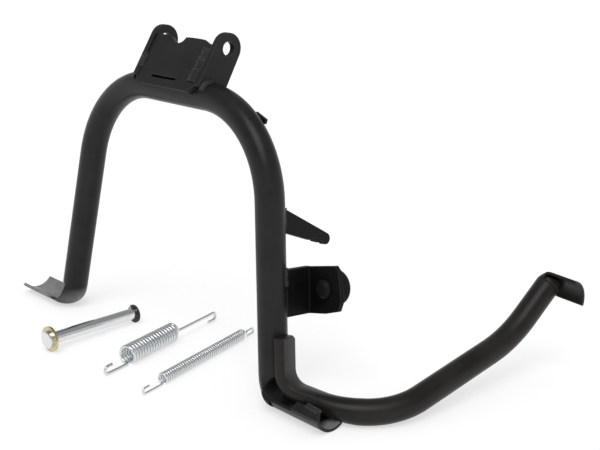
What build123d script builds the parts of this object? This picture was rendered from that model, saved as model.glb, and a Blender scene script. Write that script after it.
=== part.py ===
"""Motorcycle centre stand, standing on its two feet and the underside of its kick lever.

Frame: +X towards the kick lever's side, +Y towards the rear, +Z up, all in millimetres.
It is drawn from a point on the floor, half way between the two legs, and every piece is
moved as it is exported, so that the origin is the middle of the hinge pin's bore.
"""
from build123d import *
import os
from math import acos, asin, cos, degrees, pi, radians, sin, sqrt, tan

os.makedirs("parts", exist_ok=True)

# Driving dimensions: the bent tube with its two pressed feet
tube_diameter = 22.0
tube_wall = 2.3
leg_half_spread = 136.0       # from the middle to a leg's axis, measured at the floor
leg_splay = 8.8               # degrees that each leg leans outwards
leg_lean = 7.0                # degrees that the whole bow leans back
bow_height = 210.0            # the top run's axis above the floor
bow_bend_radius = 78.0
foot_bend_radius = 14.0
left_foot_reach = 62.0        # from the leg's axis at the floor to the foot's end
left_foot_width = 30.0        # across the opened half pipe
right_foot_reach = 59.0
right_foot_width = 28.6
right_foot_roll = 10.0        # degrees that its front edge is turned up
right_foot_shift = (-0.1, -1.0)       # of its section, upwards and to the front
seam_gap = 0.2                # what a weld bridges between two plates
weld_leg = 3.2

# Driving dimensions: the hinge bracket
bracket_lean = 34.0           # degrees that the bracket leans back
ear_outer_spacing = 83.0
bracket_shift = -1.5          # of the bracket's middle from the middle of the bow
ear_thickness = 5.0
ear_radius = 12.0
ear_front_overhang = 0.6      # of the ear's front edge past the web's face
pivot_above_tube = 38.5       # up the bracket, from the tube's axis
pivot_before_tube = 4.5       # towards the front, from the tube's axis
pivot_bore = 11.0
web_thickness = 4.0
web_below_axis = 4.5
web_corner_cut = 6.0
web_shoulder_width = 15.5
web_crown_left = 1.5
web_crown_right = 25.5
web_notch_depth = 5.5
web_dip_depth = 2.6
web_crown_rise = 0.4          # of the crown's middle above its ends
web_notch_lip = 1.0           # of the notch's left end above its floor
web_slot_length = 31.5
web_slot_height = 2.2
web_slot_centre = (-3.5, 3.0)

# Driving dimensions: the spring hook plate on the right leg
hook_height = 128.0           # above the floor, where its dimensions start on the leg's axis
hook_thickness = 5.0
hook_root_top = 12.0
hook_root_bottom = -5.7
hook_length = 57.2            # from the leg's axis to the tip
hook_tip_drop = 13.8          # of the tip's middle below the start
hook_tip_radius = 4.4
hook_notch_radius = 2.4
hook_notch_depth = 1.8
hook_notches = (39.1, 48.4)   # from the leg's axis

# Driving dimensions: the gusset on the right foot
gusset_out = 33.5             # from the leg's axis at the floor to its left end
gusset_front = -14.0
gusset_front_height = 11.1
gusset_length = 27.0
gusset_depth = 7.5
gusset_right_cut = 5.0        # that its right end runs in over its depth
gusset_slope = 27.0           # degrees that it climbs towards the lever
gusset_thickness = 2.5

# Driving dimensions: the bent buffer bracket on the right leg
buffer_plate_thickness = 3.5
buffer_plate_height = 34.0
buffer_plate_bottom = 64.0    # above the floor, up the leg
buffer_plate_out = 8.5        # its outer face, outwards from the leg's axis
buffer_plate_back = 31.5      # from the leg's axis to the middle of the turned face
buffer_face_width = 38.0
buffer_face_rise = 8.0
buffer_bend_radius = 3.0
buffer_diameter = 27.0
buffer_thickness = 13.0
buffer_neck_diameter = 9.0
buffer_head_diameter = 14.0
buffer_head_height = 4.0
buffer_neck_clearance = 0.3
buffer_centre_out = 21.5      # from the leg's axis at the bracket's bottom
buffer_centre_up = 21.8       # from the bracket's bottom
buffer_head_chamfer = 2.0
buffer_top_inset = 4.0        # of the dome's top from its side
buffer_top_drop = 1.4
buffer_shoulder_inset = 1.2
buffer_shoulder_drop = 2.9
buffer_side_drop = 5.5
# Its outline from the front, outwards from the leg's axis and up from the bracket's bottom
buffer_outline = ((0, 0), (9.0, 0), (24.5, 3.8), (36.5, 8.5), (38.5, 16.5), (33.0, 37.5), (29.0, 40.7),
                  (2.5, 34.0), (-5.5, 34.0))

# Driving dimensions: the kick lever
lever_diameter = 19.0
lever_wall = 2.0
lever_flat_width = 19.0
lever_flat_thickness = 8.0
lever_flat_top = 54.0         # above the floor
lever_corner_cut = 6.0        # off the rear corner of its top
lever_flat_offset = -2.2      # of its middle, backwards from the leg's axis
lever_root_height = 18.0      # where its first bend would have its corner
lever_root_radius = 16.0
lever_corner = (82.0, 21.5, 5.2)      # outwards from the leg's axis at the floor, back and up
lever_corner_radius = 59.0
lever_rise = (93.4, 154.9, 34.4)      # where it starts to climb, measured in the same way
lever_rise_radius = 94.0
lever_rise_angle = 38.2
lever_end_run = 57.0
lever_corner_fullness = 1.25  # of the flattened section's corners, against a round one's
lever_face_share = 0.93       # of its thickness that the corners keep
tread_bend_radius = 4.0
tread_width = 27.0
tread_reach = 27.8
tread_roll = -8.0             # degrees that the tread's hollow is turned towards the front
tread_sink = 4.5              # of the tread below the tube's back

# Driving dimensions: the loose fittings that lie on the floor beside it
pin_diameter = 10.0
pin_head_diameter = 14.6
pin_head_height = 3.0
pin_end_clearance = 0.8       # between the ears and the clip
pin_point_length = 2.2
pin_chamfer = 0.8
pin_spot = (-59.8, -71.5)     # of its head on the floor
pin_heading = 93.0            # degrees from +X to where it points
washer_diameter = 21.0
washer_thickness = 2.0
washer_bore_clearance = 0.5
groove_diameter = 9.4
groove_clearance = 0.2
clip_thickness = 1.2
clip_ring_diameter = 15.8
clip_offset = 0.4             # of the ring's middle, so that it is thickest opposite its gap
clip_rest_diameter = 16.2
clip_eye_diameter = 1.7
clip_eye_reach = 6.4          # from the pin's axis
clip_gap = 2.2
clip_mouth = 1.5              # of the groove, the length that the gap is cut to
clip_turn = 220.0

# Driving dimensions: the two springs. Each hook is its length, the height that its wire
# leaves the coils at, the height that its point comes back at and its shift across
large_spring_near = (4.7, -38.0)      # the ends of the coils on the floor
large_spring_far = (-8.0, 16.9)
large_spring_outside = 16.0
large_spring_wire = 2.5
large_spring_turns = 17.5
large_spring_near_hook = (26.0, 1.6, 7.4, -1.5)
large_spring_far_hook = (54.0, 8.4, 2.2, -3.0)
small_spring_near = (52.9, -39.3)
small_spring_far = (29.5, 60.7)
small_spring_outside = 9.0
small_spring_wire = 1.7
small_spring_turns = 41.5
small_spring_near_hook = (23.0, 1.1, 5.4, -1.2)
small_spring_far_hook = (14.0, 6.0, 1.8, -1.5)
near_hook_tail = 5.0          # that the wire runs on past a hook's bend
far_hook_tail = 7.0

# Driving dimensions: the small tab behind the right-hand bend of the bow
tab_place = (-18.5, 11.1, -10.8)      # from the corner of the bow's axis
tab_length = 11.8
tab_width = 3.8
tab_thickness = 2.0
tab_turn = -21.8              # degrees from level

# Driving dimensions: the welds. Heights are up the piece that they run along, and a size
# is the bead's width and height
web_right_weld_insets = (7.0, 5.5)    # inwards from the ear's middle, at its foot and its top
web_right_weld_heights = (3.5, 32.0)
web_right_weld_size = (11.5, 2.2)
web_left_weld_inset = 1.0
web_left_weld_heights = (8.0, 21.0)
web_left_weld_size = (7.0, 1.6)
ear_weld_start = 35.0         # degrees round the tube from the bracket's own up
ear_weld_turn = 60.0
hook_weld_heights = (-4.0, 12.0)
buffer_weld_heights = (86.0, 99.0)
buffer_weld_out = 1.0         # of its middle past the bracket's outer face
buffer_weld_size = (5.0, 2.2)
gusset_weld_inset = 0.5
gusset_weld_size = (4.5, 1.3)
weld_toe = 1.0                # that a fillet weld reaches below the tube's surface

bend_steps = 4

# Worked-out sizes
tube_radius = tube_diameter / 2
lean_tan = tan(radians(leg_lean))
splay_tan = tan(radians(leg_splay))
bow_normal = (0, -cos(radians(leg_lean)), sin(radians(leg_lean)))
bow_plane = Plane(origin=(0, 0, 0), x_dir=(1, 0, 0), z_dir=bow_normal)
bow_length = bow_height / cos(radians(leg_lean))
bow_top_half = leg_half_spread - bow_length * splay_tan


def leg_axis(height):
    """The right leg's axis at a height above the floor."""
    along = height / cos(radians(leg_lean))
    return Vector(leg_half_spread - along * splay_tan, height * lean_tan, height)


leg_down = (leg_axis(0) - leg_axis(bow_height)).normalized()
leg_up = leg_down * -1


def channel_radius(radius, width):
    """The outer radius of half a tube's wall once it is opened to a width."""
    arc = pi * radius
    low, high = radius, arc * 10
    for _ in range(60):
        middle = (low + high) / 2
        if 2 * middle * sin(min(arc / (2 * middle), pi / 2)) < width:
            low = middle
        else:
            high = middle
    return (low + high) / 2


def opened_end(corner, start, finish, radius, wall, bend_radius, width, reach, level=0.0, shift=(0.0, 0.0)):
    """Half a tube's wall turned round a bend and opened into a shallow channel.

    corner is where the two axes cross, start and finish are the directions before and
    after the bend. By its end the channel is turned by level and moved by shift. It
    returns the solid and where it starts.
    """
    turn = acos(max(-1.0, min(1.0, start.dot(finish))))
    inward = (finish - start * start.dot(finish)).normalized()
    begin = corner - start * (bend_radius * tan(turn / 2))
    centre = begin + inward * bend_radius
    open_radius = channel_radius(radius, width)
    sections = []
    places = []
    for step in range(bend_steps + 1):
        share = step / bend_steps
        angle = turn * share
        outward = inward * -cos(angle) + start * sin(angle)
        along = start * cos(angle) + inward * sin(angle)
        ease = share * share * (3 - 2 * share)
        outer = radius + (open_radius - radius) * ease
        half = pi * radius / (2 * outer)
        middle = (radius - outer + shift[0] * ease, shift[1] * ease)
        rolled = outward.rotate(Axis((0, 0, 0), along), level * ease)
        places.append(centre + outward * bend_radius)
        with BuildSketch(Plane(origin=places[-1], x_dir=rolled, z_dir=along)) as section:
            with BuildLine():
                rim = CenterArc(middle, outer, -degrees(half), 2 * degrees(half))
                bore = CenterArc(middle, outer - wall, -degrees(half), 2 * degrees(half))
                Line(rim @ 0, bore @ 0)
                Line(rim @ 1, bore @ 1)
            make_face()
        sections.append(section.sketch)
    with BuildPart() as opened:
        with BuildLine() as bend:
            ThreePointArc(places[0], places[bend_steps // 2], places[-1])
        sweep(sections=sections, path=bend.line, multisection=True)
        end_face = opened.faces().sort_by(Axis((0, 0, 0), finish))[-1]
        extrude(end_face, amount=reach - (places[-1] - corner).dot(finish))
    return opened.part, begin


foot_corner_along = tube_radius / cos(radians(leg_lean))


def make_foot(side, reach, width, roll=0.0, shift=(0.0, 0.0)):
    """One foot: the leg's wall turned outwards and opened, with its hollow side up."""
    corner = bow_plane.from_local_coords(
        (side * (leg_half_spread - foot_corner_along * splay_tan), foot_corner_along, 0))
    start = Vector(side * leg_down.X, leg_down.Y, leg_down.Z)
    outwards = Vector(side, 0, 0)
    from_corner = leg_half_spread + reach - abs(corner.X)
    return opened_end(corner, start, outwards, tube_radius, tube_wall, foot_bend_radius, width, from_corner,
                      side * (leg_lean - roll), (shift[0], side * shift[1]))


left_foot, _ = make_foot(-1, left_foot_reach, left_foot_width)
right_foot, foot_start = make_foot(1, right_foot_reach, right_foot_width, right_foot_roll, right_foot_shift)
foot_start_local = bow_plane.to_local_coords(foot_start)

with BuildLine(bow_plane) as bow:
    FilletPolyline((-foot_start_local.X, foot_start_local.Y), (-bow_top_half, bow_length),
                   (bow_top_half, bow_length), (foot_start_local.X, foot_start_local.Y),
                   radius=bow_bend_radius)

# The bow with the weld gap round it, for what is coped to its surface
with BuildPart() as bow_envelope:
    with BuildSketch(Plane(origin=bow.line @ 0, z_dir=bow.line % 0)):
        Circle(tube_radius + seam_gap / 2)
    sweep(path=bow.line)

# The kick lever's route, from the leg's outer side to the tread
lever_radius = lever_diameter / 2
lever_flat_out = tube_radius + seam_gap + lever_flat_thickness / 2
lever_offset = Vector(lever_flat_out, lever_flat_offset, 0)
lever_start = leg_axis(lever_flat_top) + lever_offset
lever_root = leg_axis(lever_root_height) + lever_offset
lever_low = Vector(leg_half_spread, 0, 0) + Vector(*lever_corner)
lever_bend = Vector(leg_half_spread, 0, 0) + Vector(*lever_rise)
lever_heading = (Vector(lever_bend.X, lever_bend.Y, 0) - Vector(lever_low.X, lever_low.Y, 0)).normalized()
lever_last = lever_heading * cos(radians(lever_rise_angle)) + Vector(0, 0, sin(radians(lever_rise_angle)))
tread_corner = lever_bend + lever_last * lever_end_run
tread_side = (Vector(1, 0, 0) - lever_last * lever_last.X).normalized()
tread_part, lever_round_end = opened_end(tread_corner, lever_last, tread_side, lever_radius, lever_wall,
                                         tread_bend_radius, tread_width, tread_reach, tread_roll,
                                         (-tread_sink, 0))

with BuildLine() as lever_route:
    FilletPolyline(lever_start, lever_root, lever_low, lever_bend, lever_round_end,
                   radius=(lever_root_radius, lever_corner_radius, lever_rise_radius))
lever_edges = lever_route.wire().order_edges()
flat_run, root_arc, cross_run, low_arc, rear_run, rise_arc, end_run = lever_edges
round_share = 0.35
round_arc = low_arc.trim(round_share, 1)
round_wire = Wire([round_arc, rear_run, rise_arc, end_run])
lever_bend_axis = leg_down.cross((lever_low - lever_root).normalized()).normalized()


def lever_section(place, along, flatness, inset):
    """One section of the lever: a flattened oval at flatness 1, a circle at 0."""
    width_way = (lever_bend_axis - along * lever_bend_axis.dot(along)).normalized()
    half_width = lever_flat_width / 2 * flatness + lever_radius * (1 - flatness) - inset
    half_thick = lever_flat_thickness / 2 * flatness + lever_radius * (1 - flatness) - inset
    fullness = 1 + (lever_corner_fullness - 1) * flatness
    corner_x = (half_width - half_thick) * flatness + half_thick * cos(pi / 4) * fullness
    corner_y = half_thick * (sin(pi / 4) * (1 - flatness) + lever_face_share * flatness)
    with BuildSketch(Plane(origin=place, x_dir=width_way, z_dir=along)) as section:
        with BuildLine():
            for turn in (1, -1):
                ThreePointArc((turn * corner_x, -turn * corner_y), (turn * half_width, 0),
                              (turn * corner_x, turn * corner_y))
                ThreePointArc((turn * corner_x, turn * corner_y), (0, turn * half_thick),
                              (-turn * corner_x, turn * corner_y))
        make_face()
    return section.sketch


flat_stations = [(root_arc @ 0, root_arc % 0, 1.0)]
for share in (0.25, 0.5, 0.75, 1.0):
    flat_stations.append((root_arc @ share, root_arc % share, 1.0 - 0.25 * share))
flat_stations.append((cross_run @ 0.5, cross_run % 0.5, 0.6))
flat_stations.append((low_arc @ 0, low_arc % 0, 0.4))
flat_stations.append((low_arc @ (round_share / 2), low_arc % (round_share / 2), 0.15))
flat_stations.append((round_arc @ 0, round_arc % 0, 0.0))


def lever_pressed_end(inset):
    """The pressed end of the lever, from its bend at the leg to where it is round again."""
    with BuildPart() as pressed_end:
        sections = [lever_section(place, along, flatness, inset) for place, along, flatness in flat_stations]
        pressed_path = Wire([root_arc, cross_run, low_arc.trim(0, round_share)])
        sweep(sections=sections, path=pressed_path, multisection=True)
    return pressed_end.part


lever_side = Vector(0, 1, 0).cross(leg_up).normalized()
lever_top_plane = Plane(origin=lever_start, x_dir=(0, 1, 0), z_dir=lever_side)

with BuildPart() as kick_lever:
    add(lever_section(lever_start, leg_down, 1.0, 0))
    extrude(amount=flat_run.length, dir=leg_down)
    with BuildSketch(lever_top_plane):
        with Locations((lever_flat_width / 2, 0)):
            Rectangle(lever_corner_cut, lever_corner_cut, rotation=45)
    extrude(amount=lever_flat_width, both=True, mode=Mode.SUBTRACT)
    add(bow_envelope.part, mode=Mode.SUBTRACT)
    add(lever_pressed_end(0))
    with BuildSketch(Plane(origin=round_arc @ 0, z_dir=round_arc % 0)):
        Circle(lever_radius)
        Circle(lever_radius - lever_wall, mode=Mode.SUBTRACT)
    sweep(path=round_wire)
    add(tread_part)
kick_lever.part.label = "kick_lever"

with BuildPart() as lever_envelope:
    add(lever_pressed_end(-seam_gap))
    with BuildSketch(Plane(origin=round_arc @ 0, z_dir=round_arc % 0)):
        Circle(lever_radius + seam_gap)
    sweep(path=round_arc)

with BuildPart() as u_tube:
    with BuildSketch(Plane(origin=bow.line @ 0, z_dir=bow.line % 0)):
        Circle(tube_radius)
        Circle(tube_radius - tube_wall, mode=Mode.SUBTRACT)
    sweep(path=bow.line)
    add(left_foot)
    add(right_foot)
    add(lever_envelope.part, mode=Mode.SUBTRACT)
u_tube.part.label = "u_tube"

# A small gusset closes the front of the right foot up to the lever's underside
gusset_corner = Vector(leg_half_spread + gusset_out, gusset_front, gusset_front_height)
gusset_normal = (0, -sin(radians(gusset_slope)), cos(radians(gusset_slope)))
gusset_plane = Plane(origin=gusset_corner, x_dir=(1, 0, 0), z_dir=gusset_normal)
with BuildPart() as foot_gusset:
    with BuildSketch(gusset_plane):
        with BuildLine():
            Polyline((0, 0), (gusset_length, 0), (gusset_length - gusset_right_cut, gusset_depth),
                     (0, gusset_depth), close=True)
        make_face()
    extrude(amount=gusset_thickness)
    add(lever_envelope.part, mode=Mode.SUBTRACT)
    add(u_tube.part, mode=Mode.SUBTRACT)
foot_gusset.part.label = "foot_gusset"

# The hinge bracket leans on the top run: its plane's X is the stand's X and its Y runs up the web
bracket_tilt = radians(bracket_lean)
bracket_plane = Plane(origin=(bracket_shift, bow_height * lean_tan, bow_height), x_dir=(1, 0, 0),
                      z_dir=(0, -cos(bracket_tilt), sin(bracket_tilt)))
web_back = tube_radius + seam_gap
web_half = ear_outer_spacing / 2 - ear_thickness - seam_gap
web_top = pivot_above_tube
web_dip = web_top - web_dip_depth
web_notch = web_top - web_notch_depth
web_crown_middle = (web_crown_left + web_crown_right) / 2
web_shoulder = -web_half + web_shoulder_width
web_slope_end = web_crown_left - 2 * web_notch_depth

with BuildPart() as web_plate:
    with BuildSketch(bracket_plane.offset(web_back)):
        with BuildLine():
            Polyline((-web_half, web_top), (-web_half, web_corner_cut / 2 - web_below_axis),
                     (-web_half + web_corner_cut, -web_below_axis),
                     (web_half - web_corner_cut, -web_below_axis),
                     (web_half, web_corner_cut - web_below_axis), (web_half, web_dip),
                     (web_crown_right + web_corner_cut, web_dip))
            ThreePointArc((web_crown_right, web_top), (web_crown_middle, web_top + web_crown_rise),
                          (web_crown_left, web_top))
            Line((web_crown_right + web_corner_cut, web_dip), (web_crown_right, web_top))
            Spline((web_shoulder, web_top), (web_slope_end, web_notch + web_notch_lip),
                   tangents=((1, 0), (1, -0.6)))
            ThreePointArc((web_slope_end, web_notch + web_notch_lip),
                          (web_crown_left - web_notch_depth, web_notch), (web_crown_left, web_top))
            Line((-web_half, web_top), (web_shoulder, web_top))
        make_face()
        with Locations(web_slot_centre):
            Rectangle(web_slot_length, web_slot_height, mode=Mode.SUBTRACT)
    extrude(amount=web_thickness)
web_plate.part.label = "web_plate"

ear_front = web_back + web_thickness + ear_front_overhang
ear_front_foot = 1.5
ear_rear_foot = (9.0, -9.5)


def make_ear(inner_x, name):
    """One ear: a round head about the pivot, tapering down to a cope on the tube."""
    middle = bracket_plane.origin + Vector(inner_x, 0, 0)
    plane = Plane(origin=middle, x_dir=bracket_plane.y_dir, z_dir=(1, 0, 0))
    with BuildPart() as ear:
        with BuildSketch(plane):
            with Locations((pivot_above_tube, pivot_before_tube)):
                Circle(ear_radius)
            with BuildLine():
                Polyline((ear_front_foot, ear_front), (ear_front_foot, 0), ear_rear_foot, close=True)
            make_face()
            make_hull()
            Circle(tube_radius + seam_gap, mode=Mode.SUBTRACT)
            with Locations((pivot_above_tube, pivot_before_tube)):
                Circle(pivot_bore / 2, mode=Mode.SUBTRACT)
        extrude(amount=ear_thickness)
    ear.part.label = name
    return ear.part


left_ear = make_ear(-ear_outer_spacing / 2, "left_ear")
right_ear = make_ear(ear_outer_spacing / 2 - ear_thickness, "right_ear")

# The spring hook plate stands in the plane of the right leg and the fore and aft direction
leg_rear = (Vector(0, 1, 0) - leg_up * leg_up.Y).normalized()
hook_plane = Plane(origin=leg_axis(hook_height), x_dir=leg_rear, z_dir=leg_rear.cross(leg_up))
hook_start = tube_radius + seam_gap
hook_tip = hook_length - hook_tip_radius
hook_lower_slope = (hook_tip_drop + hook_tip_radius + hook_root_bottom) / (hook_tip - hook_start)

with BuildPart() as spring_hook_plate:
    with BuildSketch(hook_plane):
        with BuildLine():
            Polyline((hook_start, hook_root_top), (hook_start, hook_root_bottom),
                     (hook_tip, -hook_tip_drop - hook_tip_radius), (hook_tip, -hook_tip_drop), close=True)
        make_face()
        with Locations((hook_tip, -hook_tip_drop)):
            Circle(hook_tip_radius)
        make_hull()
        for notch in hook_notches:
            lower_edge = hook_root_bottom - (notch - hook_start) * hook_lower_slope
            with Locations((notch, lower_edge + hook_notch_depth - hook_notch_radius)):
                Circle(hook_notch_radius, mode=Mode.SUBTRACT)
    extrude(amount=hook_thickness / 2, both=True)
spring_hook_plate.part.label = "spring_hook_plate"

# The buffer bracket: a strip welded to the leg's side, turned square across the swing
buffer_plane = Plane(origin=leg_axis(buffer_plate_bottom), x_dir=(1, 0, 0), z_dir=bow_plane.z_dir)
buffer_inner = buffer_plate_out - buffer_plate_thickness
buffer_middle = buffer_plate_out - buffer_plate_thickness / 2
buffer_rise = buffer_plate_height + 2 * buffer_face_rise
buffer_seat = buffer_plane.from_local_coords((buffer_centre_out, buffer_centre_up, -buffer_plate_back))
buffer_axis = buffer_plane.z_dir * -1

with BuildPart() as buffer_bracket:
    strip_start = buffer_plane.origin - leg_up * buffer_face_rise
    with BuildSketch(Plane(origin=strip_start, x_dir=(1, 0, 0), z_dir=leg_up)):
        with BuildLine():
            FilletPolyline((buffer_middle, tube_radius / 2), (buffer_middle, buffer_plate_back),
                           (buffer_middle + buffer_face_width, buffer_plate_back),
                           radius=buffer_bend_radius)
            offset(amount=buffer_plate_thickness / 2, side=Side.BOTH, kind=Kind.ARC)
        make_face()
    extrude(amount=buffer_rise)
    with BuildSketch(buffer_plane):
        with BuildLine():
            Polyline(*buffer_outline, close=True)
        make_face()
    extrude(amount=-2 * buffer_plate_back, mode=Mode.INTERSECT)
    with BuildSketch(Plane(origin=buffer_seat, x_dir=(1, 0, 0), z_dir=buffer_axis)):
        Circle(buffer_neck_diameter / 2 + buffer_neck_clearance)
    extrude(amount=buffer_plate_thickness, both=True, mode=Mode.SUBTRACT)
    add(bow_envelope.part, mode=Mode.SUBTRACT)
buffer_bracket.part.label = "buffer_bracket"

# The rubber buffer is pulled through the turned face: dome behind, button in front
neck_half = buffer_plate_thickness / 2 + buffer_neck_clearance
dome_top = neck_half + buffer_thickness
button = buffer_head_diameter / 2
button_front = -neck_half - buffer_head_height
buffer_radius = buffer_diameter / 2

with BuildPart() as rubber_buffer:
    with BuildSketch(Plane(origin=buffer_seat, x_dir=(1, 0, 0), z_dir=Vector(1, 0, 0).cross(buffer_axis))):
        with BuildLine():
            Polyline((0, dome_top), (0, button_front), (button - buffer_head_chamfer, button_front),
                     (button, button_front + buffer_head_chamfer), (button, -neck_half),
                     (buffer_neck_diameter / 2, -neck_half), (buffer_neck_diameter / 2, neck_half),
                     (buffer_radius, neck_half), (buffer_radius, dome_top - buffer_side_drop))
            dome = TangentArc((0, dome_top), (buffer_radius - buffer_top_inset, dome_top - buffer_top_drop),
                              tangent=(1, 0))
            ThreePointArc(dome @ 1, (buffer_radius - buffer_shoulder_inset, dome_top - buffer_shoulder_drop),
                          (buffer_radius, dome_top - buffer_side_drop))
        make_face()
    revolve(axis=Axis(buffer_seat, buffer_axis))
rubber_buffer.part.label = "rubber_buffer"

# A thin tab behind the right-hand bend of the bow
bow_corner = bow_plane.from_local_coords((bow_top_half, bow_length, 0))
with BuildPart() as rear_tab:
    with BuildSketch(Plane(origin=bow_corner + Vector(*tab_place), x_dir=(1, 0, 0), z_dir=(0, -1, 0))):
        Rectangle(tab_length, tab_width, rotation=tab_turn)
    extrude(amount=tab_thickness)
    add(bow_envelope.part, mode=Mode.SUBTRACT)
rear_tab.part.label = "rear_tab"


def lay_weld(start, finish, across, normal, width, height, name, *cut_by):
    """A flat-sided weld along a corner, trimmed by the pieces that it joins."""
    along = (finish - start).normalized()
    with BuildPart() as weld:
        with BuildSketch(Plane(origin=start, x_dir=across, z_dir=along)):
            with BuildLine():
                Polyline((-width / 2, -height), (width / 2, -height), (width / 2, height / 4),
                         (width / 4, height), (-width / 4, height), (-width / 2, height / 4), close=True)
            make_face()
        extrude(amount=(finish - start).length)
        for piece in cut_by:
            add(piece, mode=Mode.SUBTRACT)
    weld.part.label = name
    return weld.part


def on_bracket(x, up, out):
    """A point on the hinge bracket, from its X, its height up the web and its depth in front."""
    return bracket_plane.from_local_coords((x, up, out))


web_face = web_back + web_thickness
ear_middle = (ear_outer_spacing - ear_thickness) / 2
bracket_pieces = (web_plate.part, left_ear, right_ear, bow_envelope.part)


def ring_weld(x, outwards, start, turn, name):
    """A weld in the corner between an ear's outer face and the tube, turned about the tube's axis."""
    radial = bracket_plane.y_dir.rotate(Axis((0, 0, 0), (1, 0, 0)), start)
    place = Vector(x, bracket_plane.origin.Y, bracket_plane.origin.Z)
    with BuildPart() as weld:
        tangent = Vector(outwards, 0, 0).cross(radial)
        with BuildSketch(Plane(origin=place, x_dir=(outwards, 0, 0), z_dir=tangent)):
            with BuildLine():
                Polyline((0, tube_radius + seam_gap / 2), (weld_leg, tube_radius + seam_gap / 2),
                         (weld_leg * 0.75, tube_radius + weld_leg * 0.6), (0, tube_radius + weld_leg), close=True)
            make_face()
        revolve(axis=Axis(place, (1, 0, 0)), revolution_arc=turn)
    weld.part.label = name
    return weld.part


def plate_weld(plate_plane, start, finish, thickness, name, *cut_by):
    """A weld in the corner between a plate's face and the leg, from one height to another."""
    seam = plate_plane.from_local_coords((0, start, 0)) + plate_plane.z_dir * (thickness / 2)
    with BuildPart() as weld:
        with BuildSketch(Plane(origin=seam, x_dir=plate_plane.x_dir, z_dir=plate_plane.y_dir)):
            with BuildLine():
                Polyline((tube_radius - weld_toe, 0), (tube_radius + weld_leg, 0),
                         (tube_radius + weld_leg * 0.6, -weld_leg * 0.7),
                         (tube_radius - weld_toe, -weld_leg), close=True)
            make_face()
        extrude(amount=finish - start)
        for piece in cut_by:
            add(piece, mode=Mode.SUBTRACT)
    weld.part.label = name
    return weld.part


left_face = bracket_shift - ear_outer_spacing / 2
right_face = bracket_shift + ear_outer_spacing / 2
buffer_corner = Vector(buffer_plate_out + buffer_weld_out, tube_radius / 2, 0)
gusset_weld_start = gusset_plane.from_local_coords(
    (gusset_length / 3, gusset_depth + gusset_weld_inset, gusset_thickness))
gusset_weld_finish = gusset_plane.from_local_coords(
    (gusset_length - gusset_right_cut, gusset_depth - gusset_weld_inset, gusset_thickness))
web_right_seam = [on_bracket(ear_middle - inset, up, web_face)
                  for inset, up in zip(web_right_weld_insets, web_right_weld_heights)]
web_left_seam = [on_bracket(-ear_middle + web_left_weld_inset, up, web_face) for up in web_left_weld_heights]
buffer_seam = [leg_axis(height) + buffer_corner for height in buffer_weld_heights]
welds = [
    lay_weld(*web_right_seam, Vector(1, 0, 0), bracket_plane.z_dir, *web_right_weld_size,
             "weld_web_to_right_ear", *bracket_pieces),
    lay_weld(*web_left_seam, Vector(1, 0, 0), bracket_plane.z_dir, *web_left_weld_size,
             "weld_web_to_left_ear", *bracket_pieces),
    ring_weld(left_face, -1, ear_weld_start, ear_weld_turn, "weld_left_ear_to_tube"),
    ring_weld(right_face, 1, ear_weld_start, ear_weld_turn, "weld_right_ear_to_tube"),
    plate_weld(hook_plane, *hook_weld_heights, hook_thickness, "weld_hook_plate", bow_envelope.part,
               spring_hook_plate.part),
    lay_weld(*buffer_seam, Vector(0, 1, 0), Vector(1, 0, 0), *buffer_weld_size, "weld_buffer_bracket",
             bow_envelope.part, buffer_bracket.part),
    lay_weld(gusset_weld_start, gusset_weld_finish, gusset_plane.y_dir, gusset_plane.z_dir, *gusset_weld_size,
             "weld_foot_gusset", lever_envelope.part, foot_gusset.part, u_tube.part),
]

# The hinge pin lies on its washer and its clip
pin_grip = ear_outer_spacing + washer_thickness + pin_end_clearance
pin_far = pin_head_height + pin_grip + clip_thickness
pin_drop = asin((washer_diameter - clip_rest_diameter) / 2 / pin_far)
pin_height = washer_diameter / 2 + (pin_head_height + washer_thickness) * sin(pin_drop)
pin_start = Vector(*pin_spot, pin_height)
pin_level = Vector(cos(radians(pin_heading)), sin(radians(pin_heading)), 0)
pin_way = pin_level * cos(pin_drop) - Vector(0, 0, sin(pin_drop))
pin_plane = Plane(origin=pin_start, x_dir=Vector(0, 0, 1).cross(pin_way), z_dir=pin_way)
pin_radius = pin_diameter / 2
head_radius = pin_head_diameter / 2
groove_radius = groove_diameter / 2
groove_near = pin_head_height + pin_grip
groove_far = pin_far + groove_clearance
pin_end = pin_far + pin_point_length

with BuildPart() as hinge_pin:
    with BuildSketch(Plane(origin=pin_start, x_dir=pin_plane.x_dir, z_dir=pin_plane.y_dir * -1)):
        with BuildLine():
            Polyline((0, 0), (head_radius - pin_chamfer, 0), (head_radius, pin_chamfer),
                     (head_radius, pin_head_height), (pin_radius, pin_head_height), (pin_radius, groove_near),
                     (groove_radius, groove_near), (groove_radius, groove_far), (pin_radius, groove_far),
                     (pin_radius, pin_end - pin_chamfer), (pin_radius - pin_chamfer, pin_end), (0, pin_end),
                     close=True)
        make_face()
    revolve(axis=Axis(pin_start, pin_way))
hinge_pin.part.label = "hinge_pin"

with BuildPart() as pin_washer:
    with BuildSketch(pin_plane.offset(pin_head_height)):
        Circle(washer_diameter / 2)
        Circle((pin_diameter + washer_bore_clearance) / 2, mode=Mode.SUBTRACT)
    extrude(amount=washer_thickness)
pin_washer.part.label = "pin_washer"

clip_across = pin_plane.x_dir.rotate(Axis((0, 0, 0), pin_way), clip_turn)
clip_eye_place = (-sqrt(clip_eye_reach ** 2 - clip_gap ** 2), clip_gap)

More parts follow.
